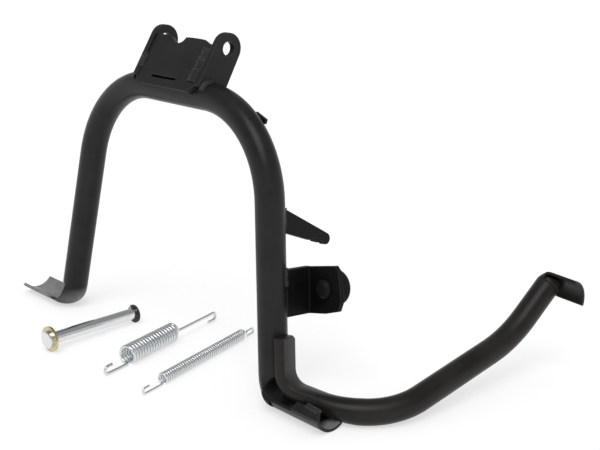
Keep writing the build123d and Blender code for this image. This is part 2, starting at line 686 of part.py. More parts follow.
with BuildPart() as pin_clip:
    with BuildSketch(Plane(origin=pin_start + pin_way * groove_near, x_dir=clip_across, z_dir=pin_way)):
        with Locations((clip_offset, 0)):
            Circle(clip_ring_diameter / 2)
        Circle(groove_radius + groove_clearance / 2, mode=Mode.SUBTRACT)
        with Locations((-groove_diameter, 0)):
            Rectangle(groove_diameter * clip_mouth, clip_gap, mode=Mode.SUBTRACT)
        with Locations(clip_eye_place, (clip_eye_place[0], -clip_eye_place[1])):
            Circle(clip_eye_diameter / 2, mode=Mode.SUBTRACT)
    extrude(amount=clip_thickness)
pin_clip.part.label = "pin_clip"


def wind_spring(near, far, outside, wire, turns, sides, steps, near_hook, far_hook, name):
    """A close-wound tension spring lying on the floor with a long hook at either end.

    near and far are the ends of its coils on the floor. A hook is its length, the height
    that its wire leaves at, the height that its point comes back at and its shift across.
    """
    mean = (outside - wire) / 2
    way = Vector(far[0] - near[0], far[1] - near[1], 0)
    body = way.length
    frame = Plane(origin=(near[0], near[1], outside / 2), x_dir=Vector(0, 0, 1).cross(way.normalized()),
                  z_dir=way.normalized())
    low = outside / 2
    length, leave, back, shift = near_hook
    bow = abs(back - leave) / 2
    path = [(shift, back - low, -length + bow + near_hook_tail)]
    for step in range(steps // 2 + 1):
        angle = pi * step / (steps // 2)
        height = (back + leave) / 2 - low + (back - leave) / 2 * cos(angle)
        path.append((shift, height, -length + bow - bow * sin(angle)))
    path += [(shift, -mean, -length / 2), (shift, -mean, -wire), (shift * 0.6, -mean, -wire / 2)]
    count = int(turns * steps)
    for step in range(count + 1):
        angle = 2 * pi * step / steps - pi / 2
        path.append((mean * cos(angle), mean * sin(angle), body * step / count))
    last = 2 * pi * count / steps - pi / 2
    length, leave, back, shift = far_hook
    bow = abs(back - leave) / 2
    inner = sqrt((leave - low) ** 2 + shift ** 2)
    for step in range(1, 5):
        angle = last + pi / 2 * step / 4 * 0.9
        reach = mean + (inner - mean) * step / 4
        path.append((reach * cos(angle), reach * sin(angle), body + wire * step * 0.35))
    path += [(shift, leave - low, body + 3 * wire), (shift, leave - low, body + length / 2)]
    for step in range(steps // 2 + 1):
        angle = pi * step / (steps // 2)
        height = (back + leave) / 2 - low + (leave - back) / 2 * cos(angle)
        path.append((shift, height, body + length - bow + bow * sin(angle)))
    path.append((shift, back - low, body + length - bow - far_hook_tail))
    points = [frame.from_local_coords(Vector(*point)) for point in path]
    sections = []
    across = Vector(1, 0, 0)
    for place in range(len(points)):
        before = points[max(place - 1, 0)]
        after = points[min(place + 1, len(points) - 1)]
        along = (after - before).normalized()
        across = (across - along * across.dot(along)).normalized()
        with BuildSketch(Plane(origin=points[place], x_dir=across, z_dir=along)) as section:
            RegularPolygon(wire / 2, sides)
        sections.append(section.sketch)
    with BuildPart() as spring:
        loft(sections, ruled=True)
    spring.part.label = name
    return spring.part


large_spring = wind_spring(large_spring_near, large_spring_far, large_spring_outside, large_spring_wire,
                           large_spring_turns, 6, 12, large_spring_near_hook, large_spring_far_hook, "large_spring")
small_spring = wind_spring(small_spring_near, small_spring_far, small_spring_outside, small_spring_wire,
                           small_spring_turns, 4, 10, small_spring_near_hook, small_spring_far_hook, "small_spring")

# Every piece moves with the middle of the pin's bore to the origin
pivot = on_bracket(0, pivot_above_tube, pivot_before_tube)
to_pivot = Location(pivot * -1)
pieces = [u_tube.part, web_plate.part, left_ear, right_ear, spring_hook_plate.part, buffer_bracket.part,
          rubber_buffer.part, kick_lever.part, foot_gusset.part, rear_tab.part, hinge_pin.part,
          pin_washer.part, pin_clip.part, large_spring, small_spring]
for piece in pieces + welds:
    placed = piece.moved(to_pivot)
    placed.label = piece.label
    print(piece.label, len(placed.solids()), placed.is_valid, round(placed.volume, 1), placed.bounding_box())
    export_step(placed, f"parts/{piece.label}.step")
print("pivot", pivot)
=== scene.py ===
import math
from collections import namedtuple
import bpy
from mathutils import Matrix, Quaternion, Vector


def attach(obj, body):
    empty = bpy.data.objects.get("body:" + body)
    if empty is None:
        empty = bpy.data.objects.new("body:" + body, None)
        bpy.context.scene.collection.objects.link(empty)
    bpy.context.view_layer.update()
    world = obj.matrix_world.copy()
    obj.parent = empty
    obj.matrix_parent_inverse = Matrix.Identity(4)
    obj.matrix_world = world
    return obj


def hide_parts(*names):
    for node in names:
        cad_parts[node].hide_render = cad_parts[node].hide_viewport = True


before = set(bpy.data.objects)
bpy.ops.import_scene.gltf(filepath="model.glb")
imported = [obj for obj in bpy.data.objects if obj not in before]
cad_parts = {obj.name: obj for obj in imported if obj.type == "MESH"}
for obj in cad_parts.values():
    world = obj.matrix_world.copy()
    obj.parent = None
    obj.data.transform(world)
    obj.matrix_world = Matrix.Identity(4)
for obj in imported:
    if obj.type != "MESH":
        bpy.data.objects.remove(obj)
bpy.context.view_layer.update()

# Sizes are in metres. Points taken over from the part's source are in millimetres from the
# floor, half way between the legs, and from_floor brings them into the row frame.
MM = 0.001
PIVOT_HEIGHT = 244.434
PIVOT = Vector((-1.5, 43.583, PIVOT_HEIGHT))
FLOOR_Z = -PIVOT_HEIGHT * MM
FLOAT, VECTOR = "NodeSocketFloat", "NodeSocketVector"


def from_floor(x, y, z):
    """A point given in millimetres from the middle of the floor, in the row frame."""
    return (Vector((x, y, z)) - PIVOT) * MM


# Helpers for objects
def link_object(name, data):
    """A new object of that data, linked to the scene."""
    made = bpy.data.objects.new(name, data)
    bpy.context.scene.collection.objects.link(made)
    return made


def plain_object(name, source):
    """The source's evaluated mesh as a plain object. The source is removed."""
    bpy.context.view_layer.update()
    evaluated = source.evaluated_get(bpy.context.evaluated_depsgraph_get())
    made = link_object(name, bpy.data.meshes.new_from_object(evaluated))
    bpy.data.objects.remove(source)
    return made


# Helpers for node trees
def fill(tree, node, inputs):
    """The node, its inputs set to values or linked. A node stands for its first output."""
    for name, value in inputs.items():
        if isinstance(value, bpy.types.Node):
            value = value.outputs[0]
        if isinstance(value, bpy.types.NodeSocket):
            tree.links.new(value, node.inputs[name])
        else:
            node.inputs[name].default_value = value
    return node


def add_node(tree, kind, inputs=None, **settings):
    """A node of that kind, with its settings and its inputs."""
    node = tree.nodes.new(kind)
    for name, value in settings.items():
        setattr(node, name, value)
    return fill(tree, node, inputs or {})


def math_node(tree, operation, first, second=None, clamp=False):
    """A math node. first and second are nodes, sockets or numbers."""
    given = {0: first} if second is None else {0: first, 1: second}
    return add_node(tree, "ShaderNodeMath", given, operation=operation, use_clamp=clamp)


def ranged(tree, value, low, high, to_low=0.0, to_high=1.0):
    """A value brought from one range to another and held inside it."""
    return add_node(tree, "ShaderNodeMapRange", {
        "Value": value, "From Min": low, "From Max": high, "To Min": to_low, "To Max": to_high})


def noise(tree, place, scale, detail, roughness):
    """A noise texture's value at a place."""
    return add_node(tree, "ShaderNodeTexNoise", {
        "Vector": place, "Scale": scale, "Detail": detail, "Roughness": roughness})


def object_place(tree):
    """The Object coordinates."""
    return tree.nodes.new("ShaderNodeTexCoord").outputs["Object"]


def surface_normal(tree):
    """The surface's own normal."""
    return tree.nodes.new("ShaderNodeNewGeometry").outputs["Normal"]


def split(tree, vector):
    """The X, Y and Z of a vector."""
    return add_node(tree, "ShaderNodeSeparateXYZ", {"Vector": vector}).outputs


def mixed_colour(tree, share, low, high):
    """A colour between low and high by a share. low is a colour or a socket."""
    node = add_node(tree, "ShaderNodeMix", {"Factor": share}, data_type="RGBA")
    colours = [socket for socket in node.inputs if socket.type == "RGBA"]
    for socket, value in zip(colours, (low, high)):
        if isinstance(value, tuple):
            socket.default_value = (*value, 1.0)
        else:
            tree.links.new(value, socket)
    return next(socket for socket in node.outputs if socket.type == "RGBA")


def new_tree(kind, name, sockets_in, sockets_out):
    """A node group, the outputs of its input node, and its output node."""
    tree = bpy.data.node_groups.new(name, kind)
    for label, socket_type, value in sockets_in:
        socket = tree.interface.new_socket(label, in_out="INPUT", socket_type=socket_type)
        if value is not None:
            socket.default_value = value
    for label, socket_type in sockets_out:
        tree.interface.new_socket(label, in_out="OUTPUT", socket_type=socket_type)
    return tree, tree.nodes.new("NodeGroupInput").outputs, tree.nodes.new("NodeGroupOutput")


# Node groups that the materials share
def make_paint_grain():
    """Sprayed paint: an even tone with slow drifts, and a fine orange peel."""
    tree, given, out = new_tree(
        "ShaderNodeTree", "paint_grain",
        [("Vector", VECTOR, None), ("Peel Size", FLOAT, 700.0), ("Peel Depth", FLOAT, 0.00004),
         ("Normal", VECTOR, None)],
        [("Tone", FLOAT), ("Normal", VECTOR)])
    drift = noise(tree, given["Vector"], 38.0, 4.0, 0.6)
    peel = noise(tree, given["Vector"], given["Peel Size"], 2.0, 0.55)
    bump = add_node(tree, "ShaderNodeBump", {
        "Strength": 1.0, "Height": peel, "Distance": given["Peel Depth"],
        "Normal": given["Normal"]})
    fill(tree, out, {"Tone": ranged(tree, drift, 0.3, 0.7), "Normal": bump})
    return tree


def make_soft_edges():
    """Edges: a rounded normal, and a mask where the paint is thin over a cut edge."""
    tree, given, out = new_tree(
        "ShaderNodeTree", "soft_edges",
        [("Vector", VECTOR, None), ("Radius", FLOAT, 0.0005), ("Amount", FLOAT, 1.0)],
        [("Mask", FLOAT), ("Normal", VECTOR)])
    rounded = add_node(tree, "ShaderNodeBevel", {"Radius": given["Radius"]}, samples=6)
    turn = add_node(tree, "ShaderNodeVectorMath", {0: rounded, 1: surface_normal(tree)},
                    operation="DOT_PRODUCT")
    edge = ranged(tree, turn.outputs["Value"], 0.995, 0.86)
    patches = noise(tree, given["Vector"], 260.0, 3.0, 0.6)
    broken = ranged(tree, patches, 0.3, 0.62, 0.25, 1.0)
    mask = math_node(tree, "MULTIPLY", math_node(tree, "MULTIPLY", edge, broken),
                     given["Amount"], clamp=True)
    fill(tree, out, {"Mask": mask, "Normal": rounded})
    return tree


def make_plate_grain():
    """Zinc plate: a fine spangle of tone, and stains for its roughness."""
    tree, given, out = new_tree(
        "ShaderNodeTree", "plate_grain",
        [("Vector", VECTOR, None), ("Scale", FLOAT, 500.0)],
        [("Tone", FLOAT), ("Streak", FLOAT)])
    spangle = noise(tree, given["Vector"], given["Scale"], 5.0, 0.65)
    stain = noise(tree, given["Vector"], 70.0, 3.0, 0.5)
    fill(tree, out, {"Tone": ranged(tree, spangle, 0.32, 0.68),
                     "Streak": ranged(tree, stain, 0.35, 0.7)})
    return tree


PAINT_GRAIN = make_paint_grain()
SOFT_EDGES = make_soft_edges()
PLATE_GRAIN = make_plate_grain()


# Materials
def use_group(tree, group, place, inputs):
    """The group as a node of this tree, at that place."""
    return add_node(tree, "ShaderNodeGroup", {"Vector": place, **inputs}, node_tree=group)


def new_material(name):
    """A material with its tree and its principled shader."""
    material = bpy.data.materials.new(name)
    material.use_nodes = True
    return material, material.node_tree, material.node_tree.nodes["Principled BSDF"]


def paint_material(name, dark, light, bare, roughness, edge_radius, edge_amount, peel_size,
                   peel_depth, shine=0.2):
    """Black paint on steel: satin, a little uneven, thin over its edges."""
    material, tree, shader = new_material(name)
    place = object_place(tree)
    edges = use_group(tree, SOFT_EDGES, place, {"Radius": edge_radius, "Amount": edge_amount})
    grain = use_group(tree, PAINT_GRAIN, place, {
        "Peel Size": peel_size, "Peel Depth": peel_depth, "Normal": edges.outputs["Normal"]})
    body = mixed_colour(tree, grain.outputs["Tone"], dark, light)
    fill(tree, shader, {
        "Base Color": mixed_colour(tree, edges.outputs["Mask"], body, bare),
        "Roughness": ranged(tree, grain.outputs["Tone"], 0.0, 1.0, *roughness),
        "Normal": grain.outputs["Normal"], "Specular IOR Level": shine})
    return material


def metal_material(name, dark, light, roughness, grain_scale):
    """Plated steel with a fine spangle."""
    material, tree, shader = new_material(name)
    grain = use_group(tree, PLATE_GRAIN, object_place(tree), {"Scale": grain_scale})
    fill(tree, shader, {
        "Base Color": mixed_colour(tree, grain.outputs["Tone"], dark, light),
        "Roughness": ranged(tree, grain.outputs["Streak"], 0.0, 1.0, *roughness),
        "Metallic": 1.0})
    return material


def rubber_material():
    """Moulded rubber, matte and a little uneven."""
    material, tree, shader = new_material("moulded_rubber")
    grain = use_group(tree, PAINT_GRAIN, object_place(tree), {
        "Peel Size": 1100.0, "Peel Depth": 0.00006, "Normal": surface_normal(tree)})
    fill(tree, shader, {
        "Base Color": mixed_colour(tree, grain.outputs["Tone"], (0.005, 0.005, 0.0048),
                                   (0.0105, 0.0105, 0.01)),
        "Normal": grain.outputs["Normal"], "Roughness": 0.5, "Specular IOR Level": 0.08})
    return material


# Where the pressed feet get painted sheen, a lighter colour that stands in for reflected light:
# the way that the surface faces, how far it has to face that way, and where across the stand it
# starts and is full
SHEEN_SPOTS = (
    ("Z", (0.25, 0.75), (-0.145, -0.155)),
    ("X", (0.3, 0.95), (-0.11, -0.12)),
    ("Z", (0.3, 0.8), (0.184, 0.19)),
)
SHEEN_HEIGHTS = (-0.224, -0.236)


def paint_sheen_on_feet(material, shade):
    """Painted sheen, lighter paint for reflected light, inside the left foot, on its heel and on
    the right foot's tip.
    """
    tree = material.node_tree
    shader = tree.nodes["Principled BSDF"]
    body = shader.inputs["Base Color"].links[0].from_socket
    place = object_place(tree)
    across, facing = split(tree, place), split(tree, surface_normal(tree))
    sheen_mask = 0.0
    # Each spot of painted sheen: where the surface faces a given way, over a given span across the
    # stand
    for way, turned, reached in SHEEN_SPOTS:
        spot = math_node(tree, "MULTIPLY", ranged(tree, facing[way], *turned),
                         ranged(tree, across["X"], *reached))
        sheen_mask = math_node(tree, "MAXIMUM", sheen_mask, spot)
    low = ranged(tree, across["Z"], *SHEEN_HEIGHTS)
    patches = ranged(tree, noise(tree, place, 160.0, 4.0, 0.6), 0.25, 0.55, 0.6, 1.0)
    share = math_node(tree, "MULTIPLY", math_node(tree, "MULTIPLY", sheen_mask, low), patches)
    fill(tree, shader, {"Base Color": mixed_colour(tree, share, body, shade)})


tube_paint = paint_material(
    "black_satin_paint", dark=(0.009, 0.0089, 0.0085), light=(0.0165, 0.0162, 0.0155),
    bare=(0.075, 0.075, 0.073), roughness=(0.3, 0.4), edge_radius=0.0007, edge_amount=0.6,
    peel_size=620.0, peel_depth=0.00005)
lever_paint = paint_material(
    "black_satin_paint_pressed", dark=(0.0085, 0.008, 0.0072), light=(0.0155, 0.0148, 0.0135),
    bare=(0.05, 0.05, 0.048), roughness=(0.3, 0.4), edge_radius=0.0022, edge_amount=0.12,
    peel_size=620.0, peel_depth=0.00005)
plate_paint = paint_material(
    "black_paint_on_plate", dark=(0.0075, 0.0075, 0.0075), light=(0.0155, 0.0155, 0.0155),
    bare=(0.1, 0.1, 0.098), roughness=(0.46, 0.58), edge_radius=0.0006, edge_amount=0.8,
    peel_size=480.0, peel_depth=0.00009, shine=0.22)
weld_paint = paint_material(
    "black_paint_on_weld", dark=(0.006, 0.006, 0.006), light=(0.024, 0.024, 0.024),
    bare=(0.07, 0.07, 0.07), roughness=(0.38, 0.5), edge_radius=0.0004, edge_amount=0.4,
    peel_size=700.0, peel_depth=0.0003, shine=0.3)
bracket_paint = paint_material(
    "black_paint_on_bracket", dark=(0.002, 0.0024, 0.0022), light=(0.005, 0.0056, 0.0052),
    bare=(0.09, 0.09, 0.088), roughness=(0.4, 0.5), edge_radius=0.0006, edge_amount=0.9,
    peel_size=520.0, peel_depth=0.00006, shine=0.1)
# A darker, less shiny copy of the plate paint: painted shade on the hook plate, which faces the
# lamp
shaded_hook_paint = paint_material(
    "shaded_black_paint_on_hook_plate", dark=(0.005, 0.005, 0.005), light=(0.0105, 0.0105, 0.0105),
    bare=(0.08, 0.08, 0.078), roughness=(0.46, 0.58), edge_radius=0.0006, edge_amount=0.8,
    peel_size=480.0, peel_depth=0.00009, shine=0.13)
bright_zinc = metal_material("bright_zinc", dark=(0.7, 0.715, 0.725), light=(0.82, 0.835, 0.84),
                             roughness=(0.16, 0.26), grain_scale=650.0)
yellow_zinc = metal_material("yellow_zinc", dark=(0.5, 0.42, 0.24), light=(0.72, 0.66, 0.46),
                             roughness=(0.26, 0.4), grain_scale=420.0)
wire_zinc = metal_material("bright_zinc_on_wire", dark=(0.66, 0.68, 0.69),
                           light=(0.78, 0.8, 0.805), roughness=(0.28, 0.38), grain_scale=650.0)
dark_steel = metal_material("dark_clip_steel", dark=(0.035, 0.035, 0.038),
                            light=(0.075, 0.075, 0.08), roughness=(0.35, 0.5), grain_scale=600.0)
rubber = rubber_material()
# Painted sheen on the feet: a lighter colour where their faces would reflect the light
paint_sheen_on_feet(tube_paint, (0.2, 0.198, 0.195))

NODE_MATERIALS = {
    "u_tube": tube_paint, "kick_lever": lever_paint, "web_plate": plate_paint,
    "left_ear": plate_paint, "right_ear": plate_paint, "foot_gusset": plate_paint,
    "rear_tab": plate_paint, "spring_hook_plate": shaded_hook_paint, "buffer_bracket": bracket_paint,
    "rubber_buffer": rubber, "hinge_pin": bright_zinc, "pin_washer": yellow_zinc,
    "pin_clip": dark_steel, "large_spring": wire_zinc, "small_spring": wire_zinc,
}
for node_name, node_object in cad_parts.items():
    for material_slot in node_object.material_slots:
        material_slot.link = "OBJECT"
        material_slot.material = NODE_MATERIALS.get(node_name, weld_paint)


# Geometry Nodes: round wire along a path, and a rippled weld bead along a seam
def new_path_tree(name, sizes):
    """A geometry tree that takes a path, named sizes and a material, and puts out a mesh."""
    return new_tree(
        "GeometryNodeTree", name,
        [("Path", "NodeSocketGeometry", None), *sizes, ("Material", "NodeSocketMaterial", None)],
        [("Mesh", "NodeSocketGeometry")])


def close_tree(tree, given, out, mesh):
    """The tree, ended with smooth faces, realised instances and the material."""
    smooth = add_node(tree, "GeometryNodeSetShadeSmooth", {"Geometry": mesh})
    realised = add_node(tree, "GeometryNodeRealizeInstances", {"Geometry": smooth})
    painted = add_node(tree, "GeometryNodeSetMaterial", {
        "Geometry": realised, "Material": given["Material"]})
    fill(tree, out, {"Mesh": painted})
    return tree


def make_round_wire():
    """Round wire through the points of a path."""
    tree, given, out = new_path_tree("round_wire", [
        ("Radius", FLOAT, 0.001), ("Step", FLOAT, 0.001), ("Sides", "NodeSocketInt", 12)])
    line = add_node(tree, "GeometryNodeMeshToCurve", {"Mesh": given["Path"]})
    flowing = add_node(tree, "GeometryNodeCurveSplineType", {"Curve": line},
                       spline_type="CATMULL_ROM")
    even = add_node(tree, "GeometryNodeResampleCurve", {"Curve": flowing, "Length": given["Step"]},
                    mode="LENGTH")
    section = add_node(tree, "GeometryNodeCurvePrimitiveCircle", {
        "Resolution": given["Sides"], "Radius": given["Radius"]}, mode="RADIUS")
    wire = add_node(tree, "GeometryNodeCurveToMesh", {
        "Curve": even, "Profile Curve": section, "Fill Caps": True})
    return close_tree(tree, given, out, wire)


def make_weld_bead():
    """A bead along a seam: an oval section that swells with each ripple, then made lumpy."""
    tree, given, out = new_path_tree("weld_bead", [
        ("Half Width", FLOAT, 0.003), ("Height", FLOAT, 0.002), ("Pitch", FLOAT, 0.002),
        ("Normal", VECTOR, (0.0, 0.0, 1.0)), ("Seed", FLOAT, 0.0)])
    line = add_node(tree, "GeometryNodeMeshToCurve", {"Mesh": given["Path"]})
    even = add_node(tree, "GeometryNodeResampleCurve", {"Curve": line, "Length": 0.0003},
                    mode="LENGTH")
    facing = add_node(tree, "GeometryNodeSetCurveNormal", {
        "Curve": even, "Normal": given["Normal"]}, mode="FREE")

    # The size along the bead: its ripples and a slow wander, rounded off at both ends
    along = tree.nodes.new("GeometryNodeSplineParameter").outputs
    phase = math_node(tree, "DIVIDE", along["Length"], given["Pitch"])
    wave = math_node(tree, "SINE", math_node(tree, "MULTIPLY", phase, math.pi))
    ripple = math_node(tree, "MULTIPLY", math_node(tree, "ABSOLUTE", wave), 0.25)
    wander = add_node(tree, "ShaderNodeTexNoise", {
        "W": math_node(tree, "ADD", along["Length"], given["Seed"]), "Scale": 260.0,
        "Detail": 2.0}, noise_dimensions="1D")
    uneven = math_node(tree, "ADD", ripple, math_node(tree, "MULTIPLY", wander, 0.5))
    arch = math_node(tree, "SINE", math_node(tree, "MULTIPLY", along["Factor"], math.pi))
    rounded = math_node(tree, "POWER", math_node(tree, "MAXIMUM", arch, 0.02), 0.3)
    size = math_node(tree, "MULTIPLY", math_node(tree, "ADD", uneven, 0.45), rounded)
    sized = add_node(tree, "GeometryNodeSetCurveRadius", {"Curve": facing, "Radius": size})

    circle = add_node(tree, "GeometryNodeCurvePrimitiveCircle", {
        "Resolution": 20, "Radius": 1.0}, mode="RADIUS")
    shape = add_node(tree, "ShaderNodeCombineXYZ", {
        "X": given["Height"], "Y": given["Half Width"], "Z": 1.0})
    oval = add_node(tree, "GeometryNodeTransform", {"Geometry": circle, "Scale": shape})
    bead = add_node(tree, "GeometryNodeCurveToMesh", {
        "Curve": sized, "Profile Curve": oval, "Fill Caps": True})

    lumps = add_node(tree, "ShaderNodeTexNoise", {"Scale": 420.0, "Detail": 2.0})
    depth = math_node(tree, "MULTIPLY", given["Height"],
                      math_node(tree, "SUBTRACT", lumps, 0.55))
    push = add_node(tree, "ShaderNodeVectorMath", {
        0: tree.nodes.new("GeometryNodeInputNormal"),
        "Scale": math_node(tree, "MULTIPLY", depth, 1.6)}, operation="SCALE")
    lumpy = add_node(tree, "GeometryNodeSetPosition", {"Geometry": bead, "Offset": push})
    return close_tree(tree, given, out, lumpy)


ROUND_WIRE = make_round_wire()
WELD_BEAD = make_weld_bead()


def follow_path(name, points, tree, material, sizes):
    """A plain mesh that the tree makes along the points."""
    mesh = bpy.data.meshes.new(name + "_path")
    mesh.from_pydata(points, [(place, place + 1) for place in range(len(points) - 1)], [])
    source = link_object(name + "_path", mesh)
    modifier = source.modifiers.new("shape", "NODES")
    modifier.node_group = tree
    identifiers = {item.name: item.identifier for item in tree.interface.items_tree
                   if item.item_type == "SOCKET" and item.in_out == "INPUT"}
    for label, value in {**sizes, "Material": material}.items():
        modifier[identifiers[label]] = value
    return plain_object(name, source)


# The springs' wire, in millimetres, on the route that the part's source gives it. A hook has its
# length past the coil, the heights where its wire leaves the coil and comes back, and its shift
Hook = namedtuple("Hook", "length leave back shift")
SPRINGS = {
    "large_spring": {
        "near": (4.7, -38.0), "far": (-8.0, 16.9), "outside": 16.0, "wire": 2.5, "turns": 17.5,
        "near_hook": Hook(26.0, 1.6, 7.4, -1.5), "far_hook": Hook(54.0, 8.4, 2.2, -3.0)},
    "small_spring": {
        "near": (52.9, -39.3), "far": (29.5, 60.7), "outside": 9.0, "wire": 1.7, "turns": 41.5,
        "near_hook": Hook(23.0, 1.1, 5.4, -1.2), "far_hook": Hook(14.0, 6.0, 1.8, -1.5)},
}
COIL_STEPS = 20               # to a turn
HOOK_STEPS = 10               # to a hook's half circle
RUN_IN_STEPS = 4              # from the coil in to the far hook
NEAR_TAIL = 5
FAR_TAIL = 7
WIRE_SIDES = 12


def hook_loop(hook, low, tail):
    """A hook from its point to where it turns back: across, up and out past the coil's end."""
    length, leave, back, shift = hook
    bow = abs(back - leave) / 2
    points = [(shift, back - low, length - bow - tail)]
    for step in range(HOOK_STEPS + 1):
        angle = math.pi * step / HOOK_STEPS
        points.append((shift, (back + leave) / 2 - low + (back - leave) / 2 * math.cos(angle),
                       length - bow + bow * math.sin(angle)))
    return points


def spring_path(near, far, outside, wire, turns, near_hook, far_hook):
    """The middle of a spring's wire from its near hook's point to its far hook's point."""
    mean = (outside - wire) / 2
    low = outside / 2
    way = Vector((far[0] - near[0], far[1] - near[1], 0))
    body = way.length
    way = way / body
    across = Vector((0, 0, 1)).cross(way)
    start = Vector((near[0], near[1], low))
    path = [(x, y, -out) for x, y, out in hook_loop(near_hook, low, NEAR_TAIL)]
    shift = near_hook.shift
    path += [(shift, -mean, -near_hook.length / 2), (shift, -mean, -wire),
             (shift * 0.6, -mean, -wire / 2)]
    count = int(turns * COIL_STEPS)
    for step in range(count + 1):
        angle = 2 * math.pi * step / COIL_STEPS - math.pi / 2
        path.append((mean * math.cos(angle), mean * math.sin(angle), body * step / count))
    last = 2 * math.pi * count / COIL_STEPS - math.pi / 2
    shift, rise = far_hook.shift, far_hook.leave - low
    inner = math.hypot(rise, shift)
    for step in range(1, RUN_IN_STEPS + 1):
        angle = last + math.pi / 2 * step / RUN_IN_STEPS * 0.9
        reach = mean + (inner - mean) * step / RUN_IN_STEPS
        path.append((reach * math.cos(angle), reach * math.sin(angle), body + wire * step * 0.35))
    path += [(shift, rise, body + 3 * wire), (shift, rise, body + far_hook.length / 2)]
    path += [(x, y, body + out) for x, y, out in reversed(hook_loop(far_hook, low, FAR_TAIL))]
    return [from_floor(*(start + across * x + Vector((0, 0, y)) + way * z)) for x, y, z in path]


for spring_name, spring_sizes in SPRINGS.items():
    wire_radius = spring_sizes["wire"] / 2 * MM
    spring = follow_path(spring_name + "_wire", spring_path(**spring_sizes), ROUND_WIRE, wire_zinc,
                         {"Radius": wire_radius, "Step": wire_radius * 0.9, "Sides": WIRE_SIDES})
    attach(spring, "root")
    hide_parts(spring_name)


# Where the seams lie, in millimetres. The hinge bracket leans back on the tube's top run, and
# the right leg splays and leans
TOP_RUN = (-1.5, 25.785, 210.0)
BRACKET_LEAN = math.radians(34.0)
BRACKET_FRONT = Vector((0, -math.cos(BRACKET_LEAN), math.sin(BRACKET_LEAN)))
WEB_SEAM_OUT = 15.1           # in front of the top run's axis
LEG_FOOT_X = 136.0
LEG_SPLAY = math.radians(8.8)
LEG_LEAN = math.radians(7.0)
HOOK_HEIGHT = 128.0
HOOK_SEAM_REAR = 11.2
HOOK_SEAM_OUT = 2.4
BUFFER_SEAM = Vector((9.2, 5.5, 0))


def on_web(x, up):
    """A point on the front of the hinge bracket's web."""
    raised = Vector((0, math.sin(BRACKET_LEAN), math.cos(BRACKET_LEAN)))
    middle = from_floor(TOP_RUN[0] + x, TOP_RUN[1], TOP_RUN[2])
    return middle + (raised * up + BRACKET_FRONT * WEB_SEAM_OUT) * MM


def leg_axis(height):
    """The right leg's axis at a height above the floor, in millimetres from the floor's middle."""
    along = height / math.cos(LEG_LEAN)
    return Vector((LEG_FOOT_X - along * math.tan(LEG_SPLAY), height * math.tan(LEG_LEAN), height))


LEG_UP = (leg_axis(TOP_RUN[2]) - leg_axis(0.0)).normalized()
LEG_REAR = (Vector((0, 1, 0)) - LEG_UP * LEG_UP.y).normalized()
HOOK_FACE = LEG_REAR.cross(LEG_UP)


def beside_hook_plate(up):
    """A point in the corner between the right leg and the hook plate."""
    return from_floor(*(leg_axis(HOOK_HEIGHT) + LEG_UP * up + LEG_REAR * HOOK_SEAM_REAR
                        + HOOK_FACE * HOOK_SEAM_OUT))


def beside_buffer_bracket(height):
    """A point in the corner between the right leg and the buffer bracket."""
    return from_floor(*(leg_axis(height) + BUFFER_SEAM))


WELDS = {
    "weld_web_to_right_ear": {
        "seam": (on_web(31.0, 3.5), on_web(32.4, 32.0)), "facing": BRACKET_FRONT,
        "half_width": 5.0, "height": 2.2, "pitch": 3.6, "seed": 0.3},
    "weld_web_to_left_ear": {
        "seam": (on_web(-37.6, 8.0), on_web(-37.6, 21.0)), "facing": BRACKET_FRONT,
        "half_width": 3.3, "height": 1.6, "pitch": 2.2, "seed": 0.7},
    "weld_hook_plate": {
        "seam": (beside_hook_plate(-4.0), beside_hook_plate(12.0)),
        "facing": (LEG_REAR + HOOK_FACE).normalized(),
        "half_width": 2.6, "height": 2.0, "pitch": 2.4, "seed": 0.1},
    "weld_buffer_bracket": {
        "seam": (beside_buffer_bracket(86.0), beside_buffer_bracket(99.0)),
        "facing": Vector((1, 0, 0)),
        "half_width": 2.4, "height": 2.0, "pitch": 2.6, "seed": 0.5},
}
SEAM_STEPS = 8
for bead_name, weld in WELDS.items():
    seam_start, seam_end = weld["seam"]
    seam_points = [seam_start.lerp(seam_end, place / SEAM_STEPS)
                   for place in range(SEAM_STEPS + 1)]
    bead = follow_path(bead_name + "_bead", seam_points, WELD_BEAD, weld_paint,
                       {"Half Width": weld["half_width"] * MM, "Height": weld["height"] * MM,
                        "Pitch": weld["pitch"] * MM, "Normal": tuple(weld["facing"]),
                        "Seed": weld["seed"]})
    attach(bead, "root")
    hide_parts(bead_name)


# The pressed near walls: where half the tube's wall is opened into a foot or the tread, the
# other half is pressed down into it. Sizes in millimetres
LEG_RADIUS = 11.0
LEG_WALL = 2.3
FOOT_WIDTH = 28.6
FOOT_BEND_RADIUS = 14.0
FOOT_CORNER = Vector((134.284, 1.351, 11.0))
FOOT_ROLL = -3.0              # degrees, at the end of the bend
FOOT_SHIFT = 1.0              # towards the rear, at the end of the bend
FOOT_PRESSED_BY = 0.9         # of the bend
FOOT_WALL_THICKNESS = 1.2
LEVER_RADIUS = 9.5
LEVER_WALL = 2.0
LEVER_LOW = Vector((218.0, 21.5, 5.2))
LEVER_BEND = Vector((229.4, 154.9, 34.4))
LEVER_RISE = math.radians(38.2)
LEVER_END_RUN = 57.0
TREAD_WIDTH = 27.0
TREAD_BEND_RADIUS = 4.0
TREAD_SET_BACK = 4.5
TREAD_WALL_THICKNESS = 1.4


def eased(share):
    """A share that starts and ends slowly."""
    return share * share * (3 - 2 * share)


def bend_section(corner, start, finish, bend_radius, share):
    """The place of a section in a bend, the way out of the bend and the way along it."""
    turn = start.angle(finish)
    inward = (finish - start * start.dot(finish)).normalized()
    centre = corner - start * (bend_radius * math.tan(turn / 2)) + inward * bend_radius
    outward = start * math.sin(turn * share) - inward * math.cos(turn * share)
    along = start * math.cos(turn * share) + inward * math.sin(turn * share)
    return centre + outward * bend_radius, outward, along


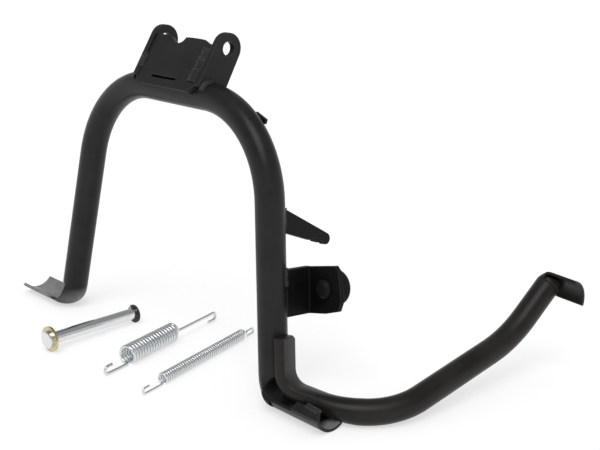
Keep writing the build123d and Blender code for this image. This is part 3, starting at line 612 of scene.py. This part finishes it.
def opened_radius(radius, width):
    """The outer radius of half a tube's wall once it is opened to a width."""
    low, high = radius, radius * 30
    for _ in range(60):
        middle = (low + high) / 2
        if 2 * middle * math.sin(min(math.pi * radius / (2 * middle), math.pi / 2)) < width:
            low = middle
        else:
            high = middle
    return low


def fan(steps):
    """Angles over half a circle, from a quarter turn before to a quarter turn after."""
    return [math.pi * (step / steps - 0.5) for step in range(steps + 1)]


def pressed_wall(name, rows, facing, thickness, material):
    """A thin closed shell over rows of points, its outer side towards facing."""
    columns = len(rows[0])
    points = [from_floor(*point) for row in rows for point in row]
    middle = (len(rows) // 2) * columns + columns // 2
    first = (points[middle + 1] - points[middle]).cross(points[middle + columns] - points[middle])
    faces = []
    for row in range(len(rows) - 1):
        for column in range(columns - 1):
            corner = row * columns + column
            face = (corner, corner + 1, corner + columns + 1, corner + columns)
            faces.append(face if first.dot(facing) > 0 else face[::-1])
    mesh = bpy.data.meshes.new(name)
    mesh.from_pydata(points, [], faces)
    source = link_object(name + "_sheet", mesh)
    wall = source.modifiers.new("wall", "SOLIDIFY")
    wall.thickness = thickness * MM
    wall.offset = -1.0
    made = plain_object(name, source)
    made.data.shade_smooth()
    made.data.materials.clear()
    made.data.materials.append(material)
    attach(made, "root")


def make_foot_wall():
    """The near wall of the right leg, pressed down into its foot."""
    start, finish = LEG_UP * -1, Vector((1, 0, 0))
    opened = opened_radius(LEG_RADIUS, FOOT_WIDTH)
    bend_steps, columns = 24, fan(20)
    rows = []
    for step in range(bend_steps + 1):
        share = step / bend_steps
        place, outward, along = bend_section(FOOT_CORNER, start, finish, FOOT_BEND_RADIUS, share)
        ease = eased(share)
        outer = LEG_RADIUS + (opened - LEG_RADIUS) * ease
        half = math.pi * LEG_RADIUS / (2 * outer)
        rolled = outward.copy()
        rolled.rotate(Quaternion(along, math.radians(FOOT_ROLL * ease)))
        aside = along.cross(rolled)
        # The wall spans the two rims of the foot's channel, a little inside them
        rim_out = LEG_RADIUS - outer - 0.1 * ease + outer * math.cos(half)
        rim_aside = outer * math.sin(half) - 0.15
        sink = outer - LEG_WALL - outer * math.cos(half) - 0.25
        press = eased(min(1.0, share / FOOT_PRESSED_BY))
        bulge = LEG_RADIUS * (1 - press) - sink * press
        rows.append([place + rolled * (rim_out - bulge * math.cos(angle))
                     + aside * (rim_aside * math.sin(angle) - FOOT_SHIFT * ease)
                     for angle in columns])
    pressed_wall("pressed_foot_wall", rows, Vector((1, -0.4, 0.3)), FOOT_WALL_THICKNESS,
                 tube_paint)


def make_tread_wall():
    """The near wall of the lever's end, up to the underside of the tread."""
    heading = Vector((LEVER_BEND.x - LEVER_LOW.x, LEVER_BEND.y - LEVER_LOW.y, 0)).normalized()
    start = heading * math.cos(LEVER_RISE) + Vector((0, 0, math.sin(LEVER_RISE)))
    corner = LEVER_BEND + start * LEVER_END_RUN
    finish = (Vector((1, 0, 0)) - start * start.x).normalized()
    place, outward, along = bend_section(corner, start, finish, TREAD_BEND_RADIUS, 0.0)
    aside = along.cross(outward)
    opened = opened_radius(LEVER_RADIUS, TREAD_WIDTH)
    row_count, columns = 8, fan(24)
    rows = []
    for step in range(row_count + 1):
        row = []
        for angle in columns:
            across = LEVER_RADIUS * math.sin(angle)
            # Up to a little below the tread, from a little inside the tube
            reach = (corner - place).dot(start) + LEVER_RADIUS - opened - TREAD_SET_BACK
            reach += math.sqrt((opened - LEVER_WALL) ** 2 - across ** 2) - 0.3
            row.append(place - outward * (LEVER_RADIUS * math.cos(angle)) + aside * across
                       + start * (reach * step / row_count - 0.2))
        rows.append(row)
    pressed_wall("pressed_tread_wall", rows, outward * -1, TREAD_WALL_THICKNESS, lever_paint)


make_foot_wall()
make_tread_wall()


# Floor, world, lamp and camera
WHITE = (1.0, 1.0, 1.0, 1.0)
FLOOR_HALF = 12.0
FLOOR_GAP = 0.00005           # under the lowest points of the part
FLOOR_GLOW = 0.6              # share of plain white in the floor that is seen
DAYLIGHT = 0.75
CEILING = (0.3, 0.3, 0.31)    # the colour overhead, which only reflections show
CEILING_HEIGHTS = (0.05, 0.55)


def seen_ray(tree):
    """1 for the rays that see, reflect or pass through, 0 for the rays that light."""
    ray = tree.nodes.new("ShaderNodeLightPath").outputs
    seen = math_node(tree, "MAXIMUM", ray["Is Camera Ray"], ray["Is Glossy Ray"])
    return math_node(tree, "MAXIMUM", seen, ray["Is Transmission Ray"])


def make_floor():
    """White paper that reaches past the picture and keeps the object's shadow."""
    mesh = bpy.data.meshes.new("studio_floor")
    mesh.from_pydata([(x * FLOOR_HALF, y * FLOOR_HALF, FLOOR_Z - FLOOR_GAP)
                      for x, y in ((-1, -1), (1, -1), (1, 1), (-1, 1))], [], [(0, 1, 2, 3)])
    floor = link_object("studio_floor", mesh)
    material, tree, shader = new_material("white_paper")
    fill(tree, shader, {
        "Base Color": (0.97, 0.97, 0.97, 1.0), "Roughness": 0.9, "Specular IOR Level": 0.0})
    glow = add_node(tree, "ShaderNodeEmission", {"Color": WHITE, "Strength": 1.0})
    share = math_node(tree, "MULTIPLY", seen_ray(tree), FLOOR_GLOW)
    mix = add_node(tree, "ShaderNodeMixShader", {"Fac": share, 1: shader, 2: glow})
    fill(tree, tree.nodes["Material Output"], {"Surface": mix})
    mesh.materials.append(material)


def make_world():
    """Even daylight. What is seen of it is white, and darker overhead in reflections."""
    world = bpy.data.worlds.new("studio")
    bpy.context.scene.world = world
    world.use_nodes = True
    tree = world.node_tree
    tree.nodes.clear()
    soft = add_node(tree, "ShaderNodeBackground", {"Color": WHITE, "Strength": DAYLIGHT})
    height = split(tree, tree.nodes.new("ShaderNodeTexCoord").outputs["Generated"])["Z"]
    sky = mixed_colour(tree, ranged(tree, height, *CEILING_HEIGHTS), WHITE[:3], CEILING)
    white = add_node(tree, "ShaderNodeBackground", {"Color": sky, "Strength": 1.0})
    mix = add_node(tree, "ShaderNodeMixShader", {"Fac": seen_ray(tree), 1: soft, 2: white})
    add_node(tree, "ShaderNodeOutputWorld", {"Surface": mix})


def make_lamp():
    """A wide sun from above and behind the camera, for the soft shadows."""
    lamp = bpy.data.lights.new("soft_key", "SUN")
    lamp.energy = 1.35
    lamp.angle = math.radians(38.0)
    holder = link_object("soft_key", lamp)
    holder.rotation_euler = Vector((-0.35, 0.45, -1.0)).to_track_quat("-Z", "Y").to_euler()


def make_camera():
    """The photograph's camera, as fitted to the tube's bow, the lever and the floor."""
    camera = bpy.data.cameras.new("photo_camera")
    camera.lens = 63.06
    camera.sensor_width = 36.0
    camera.clip_start = 0.02
    camera.clip_end = 60.0
    holder = link_object("photo_camera", camera)
    holder.location = (0.65305, -0.510033, 0.103716)
    holder.rotation_euler = (math.radians(73.05), 0.0, math.radians(46.31))
    bpy.context.scene.camera = holder


make_floor()
make_world()
make_lamp()
make_camera()
bpy.context.scene.view_settings.view_transform = "Standard"

bpy.context.view_layer.update()
